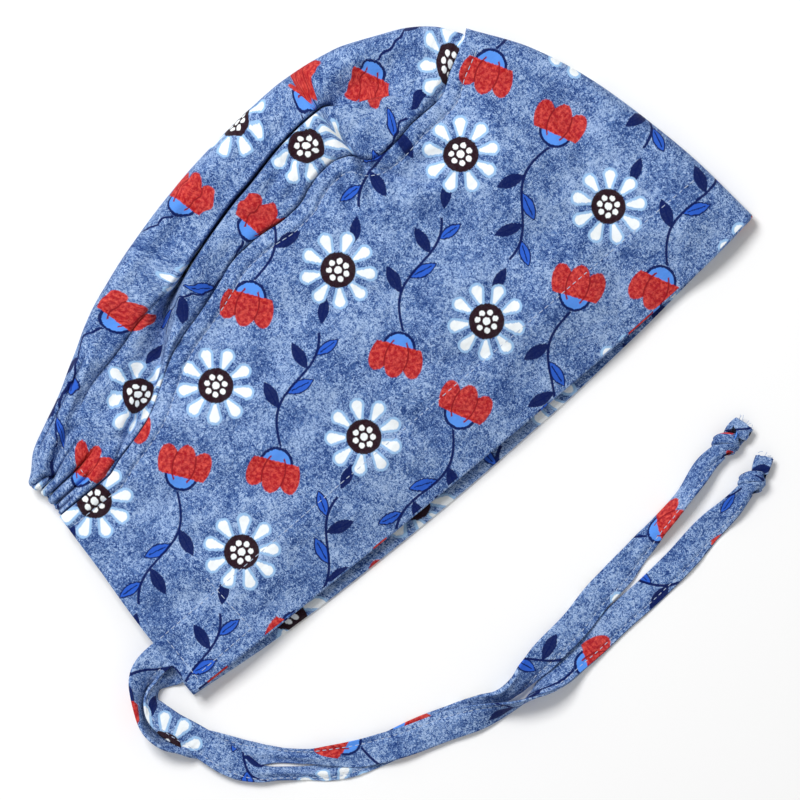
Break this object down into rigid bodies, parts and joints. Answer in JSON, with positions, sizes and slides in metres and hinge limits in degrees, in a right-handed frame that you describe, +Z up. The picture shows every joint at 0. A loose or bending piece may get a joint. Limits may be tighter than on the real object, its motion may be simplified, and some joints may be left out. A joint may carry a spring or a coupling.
{
  "type": "surgical scrub cap",
  "caption": "Printed cotton scrub cap lying on its side, with a tall side band, a gathered crown drawn in at the nape, a turned brim hem and knotted cloth ties.",
  "frame": {"origin": "on the surface the cap lies on, under the middle of the box around the cap without its ties", "axes": "+X along the brim from the back corner with the ties to the forehead fold, +Y from the brim to the crown, +Z up from the surface"},
  "size_m": [0.3191, 0.2561, 0.0305],
  "materials": {
    "printed_cotton": "matte woven cotton, washed denim blue with a printed floral"
  },
  "bodies": {
    "root": {"side_band": "printed_cotton", "crown": "printed_cotton", "brim_hem": "printed_cotton", "tie_near": "printed_cotton", "tie_far": "printed_cotton", "knot_near": "printed_cotton", "knot_far": "printed_cotton"}
  },
  "joints": []
}
